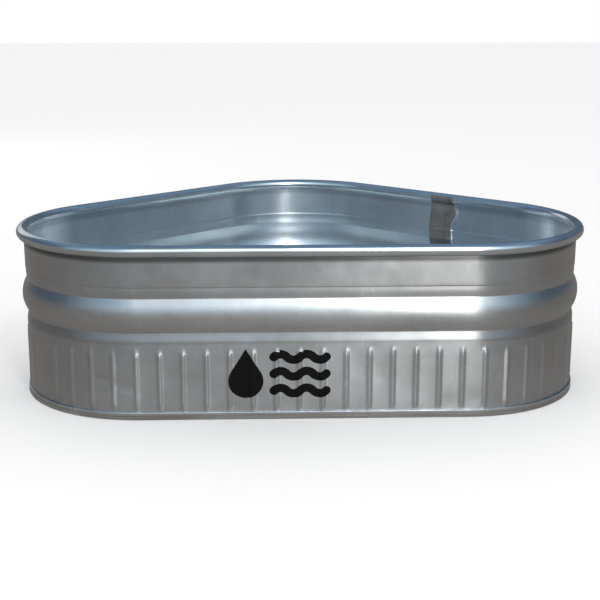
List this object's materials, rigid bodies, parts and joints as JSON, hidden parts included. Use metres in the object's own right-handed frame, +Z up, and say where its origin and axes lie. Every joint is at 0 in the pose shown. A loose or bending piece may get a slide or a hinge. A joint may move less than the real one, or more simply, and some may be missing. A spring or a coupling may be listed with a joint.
{
  "type": "livestock water trough",
  "caption": "Triangular galvanised sheet-steel stock tank with round corners, a rolled rim, swage beads and pressed ribs, drained by a screw plug low at the back.",
  "frame": {"origin": "on the ground, under the middle of the box around the tank", "axes": "+Z up, the long front wall faces -Y, the back corner with the drain points to +Y, +X is to the right seen from the front"},
  "size_m": [2.0516, 1.3896, 0.61],
  "materials": {
    "galvanised_sheet": "bright galvanised, lightly weathered",
    "bottom_sheet": "bright galvanised, lightly weathered",
    "rim_tube_steel": "galvanised tube, hidden",
    "seam_sealant": "pliable sealant, hidden",
    "seam_strip_coating": "dull grey sealing coat",
    "black_ink": "printed black ink",
    "drain_fitting_metal": "cast and machined brass",
    "black_rubber": "moulded rubber",
    "washer_rubber": "moulded rubber",
    "plug_metal": "cast and machined brass"
  },
  "bodies": {
    "tank": {"sidewall": "galvanised_sheet", "bottom_pan": "bottom_sheet", "rim_tube": "rim_tube_steel", "base_seam_sealant": "seam_sealant", "side_seam_strip": "seam_strip_coating", "emblem_print": "black_ink", "drain_body": "drain_fitting_metal", "drain_inner_gasket": "black_rubber", "drain_outer_gasket": "black_rubber", "drain_nut": "drain_fitting_metal"},
    "plug_travel": {"plug_washer": "washer_rubber"},
    "plug": {"drain_plug": "plug_metal"}
  },
  "joints": [
    {"name": "plug_withdraw", "type": "slide", "parent": "tank", "child": "plug_travel", "axis": [0, 1, 0], "range_m": [0, 0.01104]},
    {"name": "plug_turn", "type": "hinge", "parent": "plug_travel", "child": "plug", "pos_m": [0, 0.68, 0.072], "axis": [0, 1, 0], "range_deg": [0, 1800]}
  ],
  "couplings": [
    {"joint": "plug_withdraw", "follows": "plug_turn", "m_per_rad": 0.00035152}
  ]
}
